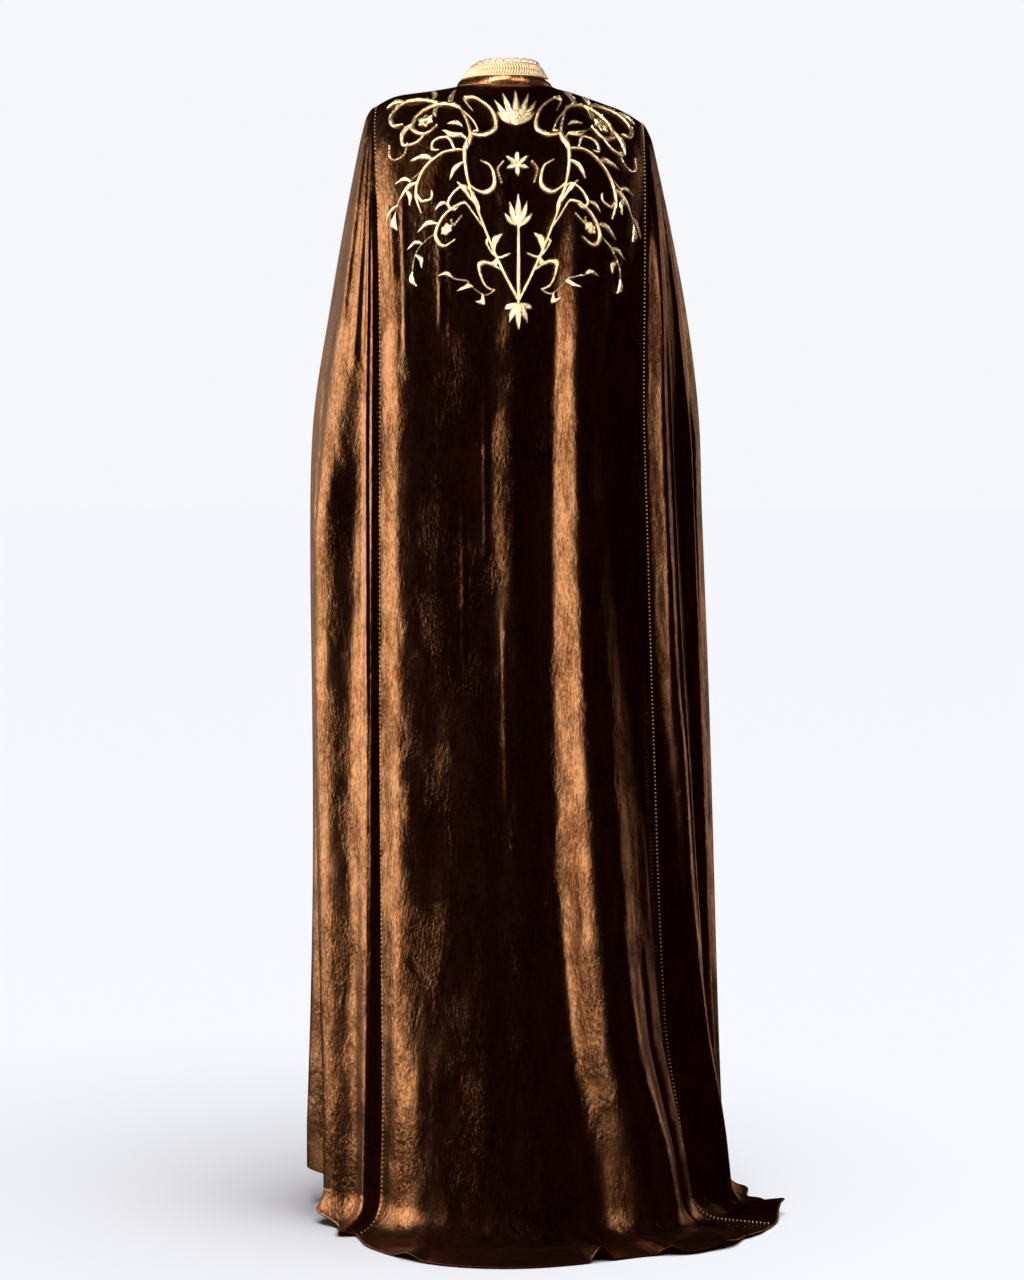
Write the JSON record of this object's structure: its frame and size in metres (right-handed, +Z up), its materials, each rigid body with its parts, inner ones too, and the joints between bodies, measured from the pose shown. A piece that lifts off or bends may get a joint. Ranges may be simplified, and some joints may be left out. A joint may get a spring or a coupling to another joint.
{
  "type": "cape",
  "caption": "Floor-length velvet cape with set-in side panels, a short train, a stand collar with braid and looped edging, and raised gold scrollwork over the upper back.",
  "frame": {"origin": "centre of the neck opening, level with the side neck points: the place where the wearer's neck holds the cape up", "axes": "+Z up, +Y towards the front of the garment, +X towards the wearer's right; the floor is at z = -1.570 m"},
  "size_m": [0.6462, 0.5773, 1.6039],
  "materials": {
    "velvet": "dark brown silk velvet with a copper sheen and a deep, uneven nap",
    "braid": "woven cream and gold metal-thread braid with a slanting rib",
    "gold": "couched and wrapped gold metal thread, softly bright"
  },
  "bodies": {
    "root": {"back": "velvet", "side_left": "velvet", "side_right": "velvet", "front_left": "velvet", "front_right": "velvet", "collar_stand": "velvet", "collar_braid": "braid", "collar_loops": "gold", "goldwork": "gold", "palmette": "gold", "rosette_centre": "gold", "rosette_left": "gold", "rosette_right": "gold", "rosette_low_left": "gold", "rosette_low_right": "gold"}
  },
  "joints": []
}
